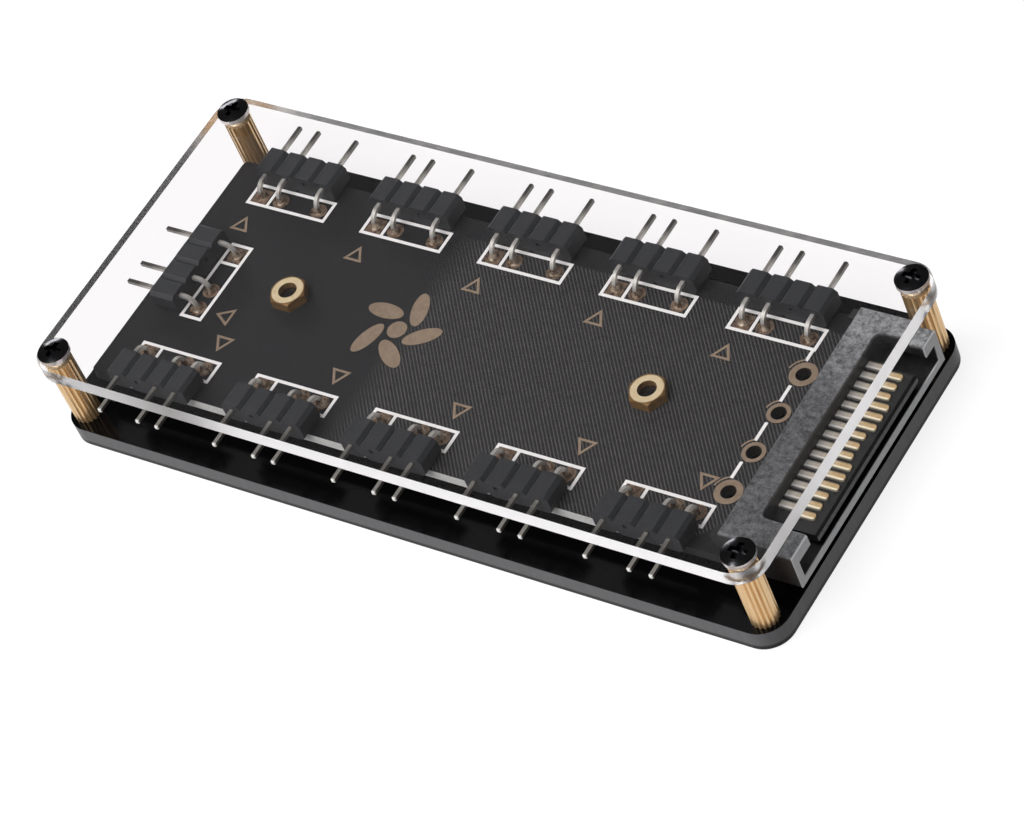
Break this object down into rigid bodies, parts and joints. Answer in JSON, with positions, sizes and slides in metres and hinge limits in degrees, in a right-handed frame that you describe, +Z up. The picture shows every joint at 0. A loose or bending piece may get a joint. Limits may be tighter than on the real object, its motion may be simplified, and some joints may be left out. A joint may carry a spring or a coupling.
{
  "type": "pc fan controller hub",
  "caption": "Fan and light hub board between a clear cover and a black base on knurled brass posts, with rows of keyed pin headers and a drive-power socket.",
  "frame": {"origin": "middle of the underside of the base plate", "axes": "+X along the plates to the power socket, +Y to the back header row, +Z up through the board to the clear cover"},
  "size_m": [0.0898, 0.0404, 0.0128],
  "materials": {
    "black_acrylic": "polished black acrylic, sawn edges satin",
    "clear_acrylic": "clear polished acrylic",
    "brass": "bare turned brass, knurled posts",
    "black_screw": "gloss black oxide on steel",
    "black_nylon": "moulded black nylon",
    "board_epoxy": "satin black solder mask on glass epoxy",
    "gold_plating": "thin gold plating",
    "header_plastic": "moulded dark charcoal plastic",
    "tinned_pin": "bright tin plating",
    "socket_plastic": "moulded black plastic with a grey bloom"
  },
  "bodies": {
    "root": {"base_plate": "black_acrylic", "base_screws": "black_screw", "board_nuts": "brass", "board_screws": "black_screw", "board_spacers": "black_nylon", "circuit_board": "board_epoxy", "cover_plate": "clear_acrylic", "cover_screws": "black_screw", "header_housing_back_1": "header_plastic", "header_housing_back_2": "header_plastic", "header_housing_back_3": "header_plastic", "header_housing_back_4": "header_plastic", "header_housing_back_5": "header_plastic", "header_housing_front_1": "header_plastic", "header_housing_front_2": "header_plastic", "header_housing_front_3": "header_plastic", "header_housing_front_4": "header_plastic", "header_housing_front_5": "header_plastic", "header_housing_left": "header_plastic", "header_pins_back_1": "tinned_pin", "header_pins_back_2": "tinned_pin", "header_pins_back_3": "tinned_pin", "header_pins_back_4": "tinned_pin", "header_pins_back_5": "tinned_pin", "header_pins_front_1": "tinned_pin", "header_pins_front_2": "tinned_pin", "header_pins_front_3": "tinned_pin", "header_pins_front_4": "tinned_pin", "header_pins_front_5": "tinned_pin", "header_pins_left": "tinned_pin", "post_back_left": "brass", "post_back_right": "brass", "post_front_left": "brass", "post_front_right": "brass", "power_contacts": "gold_plating", "power_eyelets": "gold_plating", "power_socket_housing": "socket_plastic"}
  },
  "joints": []
}
